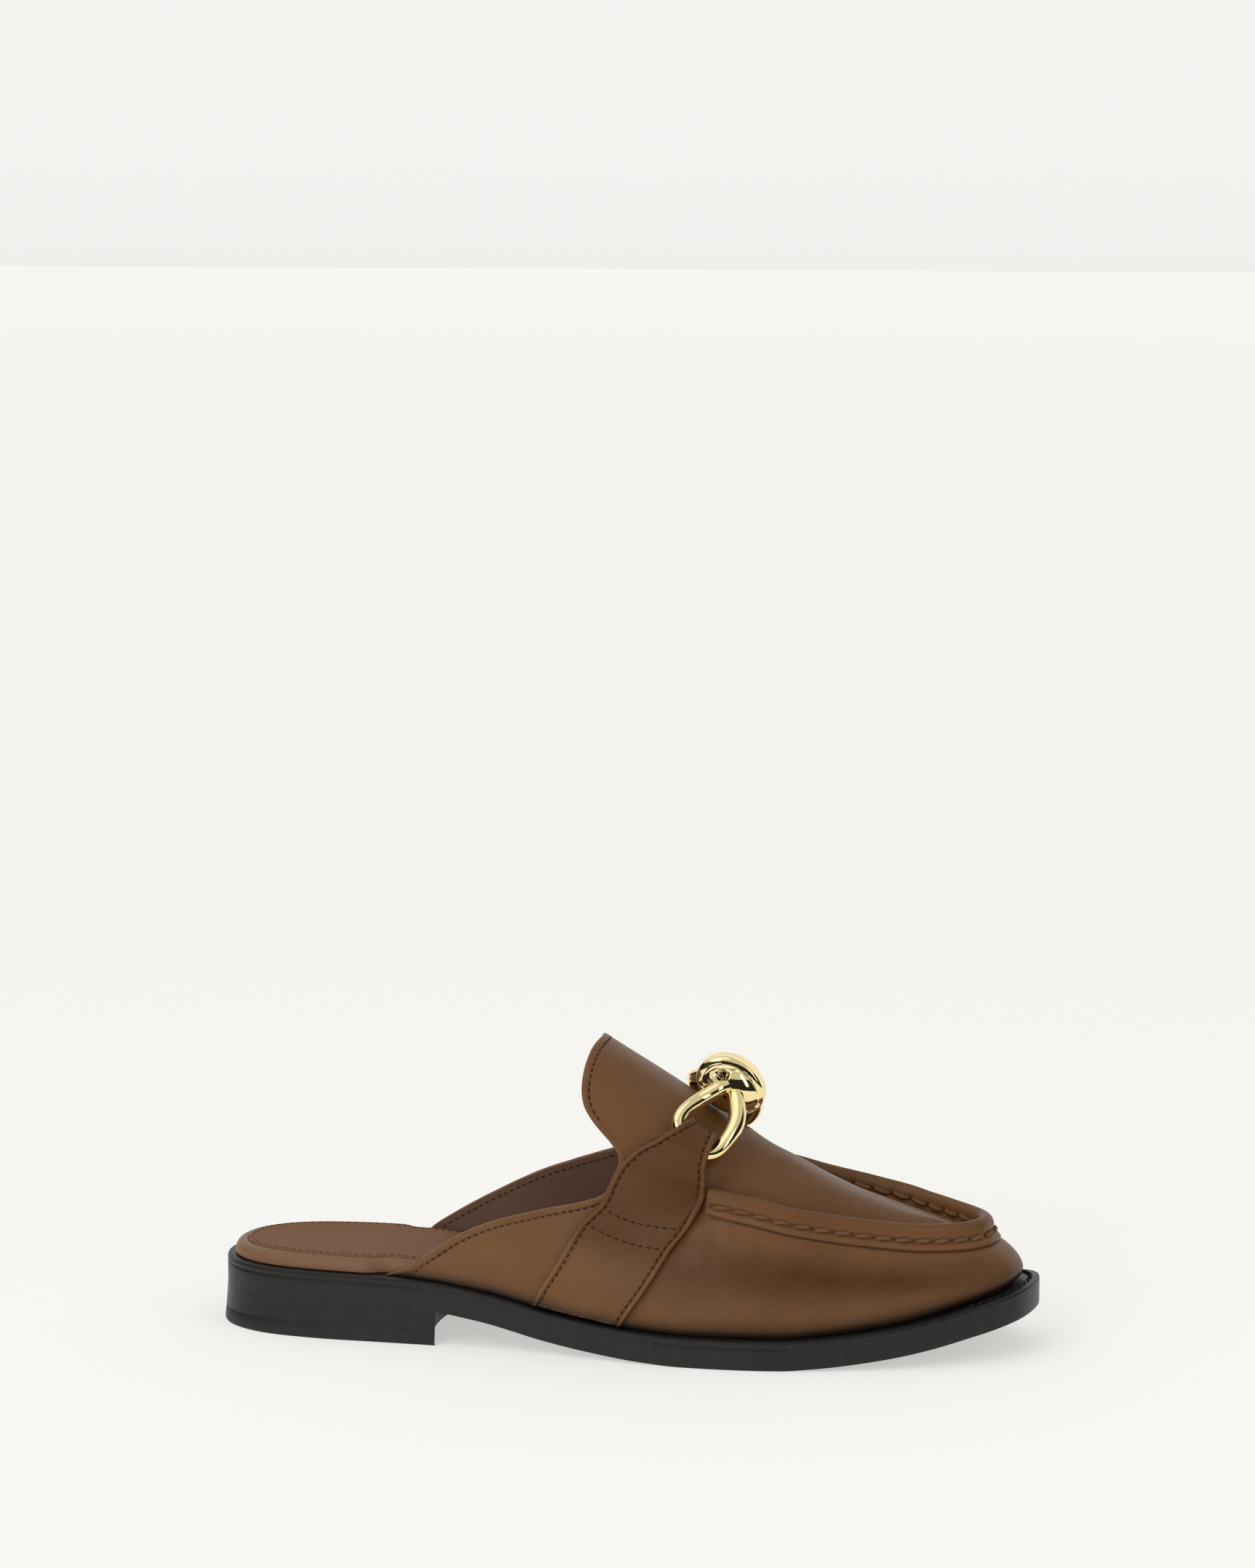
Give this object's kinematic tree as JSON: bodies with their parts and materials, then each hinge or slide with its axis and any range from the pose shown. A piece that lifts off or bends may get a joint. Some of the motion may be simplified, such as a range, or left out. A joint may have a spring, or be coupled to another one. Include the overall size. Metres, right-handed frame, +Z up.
{
  "type": "backless loafer",
  "caption": "Low stacked-heel leather loafer without a back, with a raised apron seam, tall tongue and straps holding a metal knot.",
  "frame": {"origin": "centre of the shoe's bounding box in plan, on the ground plane the heel and tread stand on", "axes": "+X from the heel to the toe, +Y toward the inner side of the right foot, +Z up"},
  "size_m": [0.269, 0.0922, 0.0975],
  "materials": {
    "outsole": "black dyed sole leather, satin edge",
    "welt": "black dyed leather strip, satin",
    "heel_stack": "black dyed stacked leather, satin",
    "top_lift": "matte black rubber",
    "footbed": "smooth brown leather wrap",
    "sock": "smooth brown leather",
    "upper": "smooth brown calf leather with a soft sheen",
    "strap_outer": "smooth brown calf leather with a soft sheen",
    "strap_inner": "smooth brown calf leather with a soft sheen",
    "bit": "polished pale gold plate"
  },
  "bodies": {
    "root": {"outsole": "outsole", "welt": "welt", "heel_stack": "heel_stack", "top_lift": "top_lift", "footbed": "footbed", "sock": "sock", "upper": "upper", "strap_outer": "strap_outer", "strap_inner": "strap_inner", "bit": "bit"}
  },
  "joints": []
}
